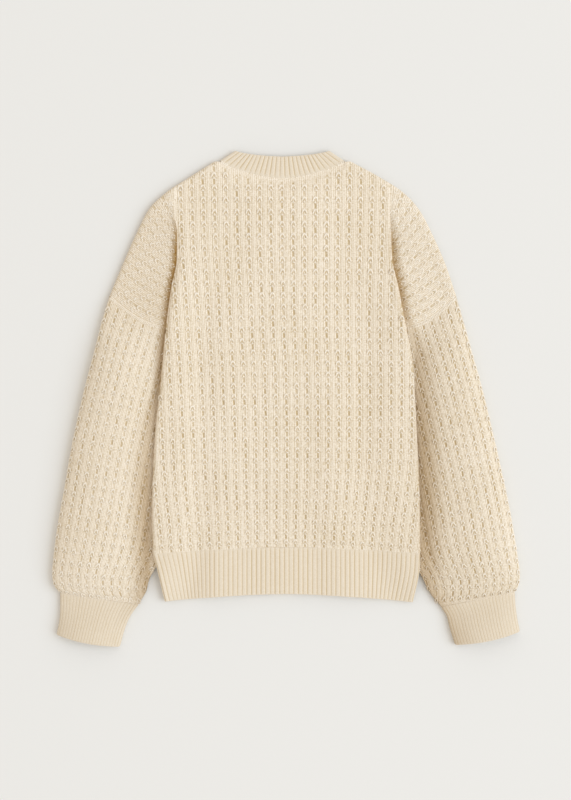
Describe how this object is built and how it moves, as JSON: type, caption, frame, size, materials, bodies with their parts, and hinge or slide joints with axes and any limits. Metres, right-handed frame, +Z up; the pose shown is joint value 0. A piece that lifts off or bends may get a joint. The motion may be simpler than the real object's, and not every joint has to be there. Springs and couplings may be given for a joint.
{
  "type": "wool cardigan",
  "caption": "Crew-neck wool cardigan in a tuck-stitch knit with ribbed neckband, cuffs and hem, laid flat with its back up.",
  "frame": {"origin": "middle of the laid-out garment's outline, at the height of the surface it lies on", "axes": "+X towards the wearer's right sleeve, +Y towards the neck, +Z up out of the back"},
  "size_m": [0.63, 0.6676, 0.017],
  "materials": {
    "knit": "soft matt wool, openwork tuck stitch",
    "rib": "soft matt wool, ribbed",
    "button": "satin horn-like resin"
  },
  "bodies": {
    "root": {"back": "knit", "front_left": "knit", "front_right": "knit", "sleeve_left": "knit", "sleeve_right": "knit", "cuff_left": "rib", "cuff_right": "rib", "hem_back": "rib", "hem_front_left": "rib", "hem_front_right": "rib", "neckband": "rib", "button_band": "rib", "buttonhole_band": "rib", "button_1": "button", "button_2": "button", "button_3": "button", "button_4": "button", "button_5": "button", "button_6": "button"}
  },
  "joints": []
}
